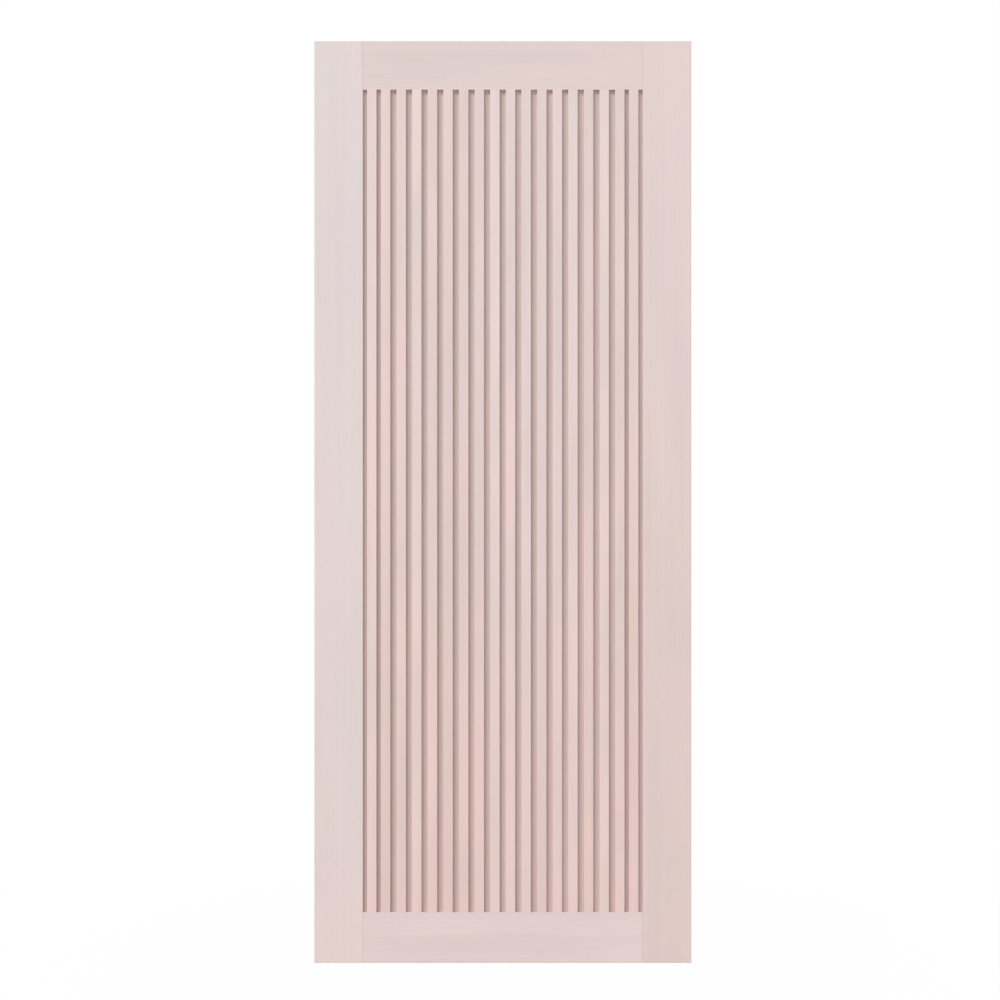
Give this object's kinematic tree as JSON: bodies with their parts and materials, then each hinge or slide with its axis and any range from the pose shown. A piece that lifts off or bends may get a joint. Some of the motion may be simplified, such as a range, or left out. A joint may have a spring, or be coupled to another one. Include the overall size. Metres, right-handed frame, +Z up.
{
  "type": "slatted wooden door leaf",
  "caption": "Tall solid timber door leaf: plain stiles and rails round a core panel with upright slats flush on both faces; hinges and lock are fitted by the user.",
  "frame": {"origin": "at the foot of the leaf, on the flat hinge-side edge, in the middle of its thickness", "axes": "+Z up the leaf, +X across it from the hinge edge to the lock edge, +Y through its thickness; the front face looks towards -Y"},
  "size_m": [0.9, 0.04, 2.2],
  "materials": {
    "frame_wood": "matte",
    "slat_wood": "matte",
    "panel_wood": "matte"
  },
  "bodies": {
    "root": {"stile_left": "frame_wood", "stile_right": "frame_wood", "rail_top": "frame_wood", "rail_bottom": "frame_wood", "panel": "panel_wood", "slat_front_01": "slat_wood", "slat_front_02": "slat_wood", "slat_front_03": "slat_wood", "slat_front_04": "slat_wood", "slat_front_05": "slat_wood", "slat_front_06": "slat_wood", "slat_front_07": "slat_wood", "slat_front_08": "slat_wood", "slat_front_09": "slat_wood", "slat_front_10": "slat_wood", "slat_front_11": "slat_wood", "slat_front_12": "slat_wood", "slat_front_13": "slat_wood", "slat_front_14": "slat_wood", "slat_front_15": "slat_wood", "slat_front_16": "slat_wood", "slat_front_17": "slat_wood", "slat_front_18": "slat_wood", "slat_back_01": "slat_wood", "slat_back_02": "slat_wood", "slat_back_03": "slat_wood", "slat_back_04": "slat_wood", "slat_back_05": "slat_wood", "slat_back_06": "slat_wood", "slat_back_07": "slat_wood", "slat_back_08": "slat_wood", "slat_back_09": "slat_wood", "slat_back_10": "slat_wood", "slat_back_11": "slat_wood", "slat_back_12": "slat_wood", "slat_back_13": "slat_wood", "slat_back_14": "slat_wood", "slat_back_15": "slat_wood", "slat_back_16": "slat_wood", "slat_back_17": "slat_wood", "slat_back_18": "slat_wood"}
  },
  "joints": []
}
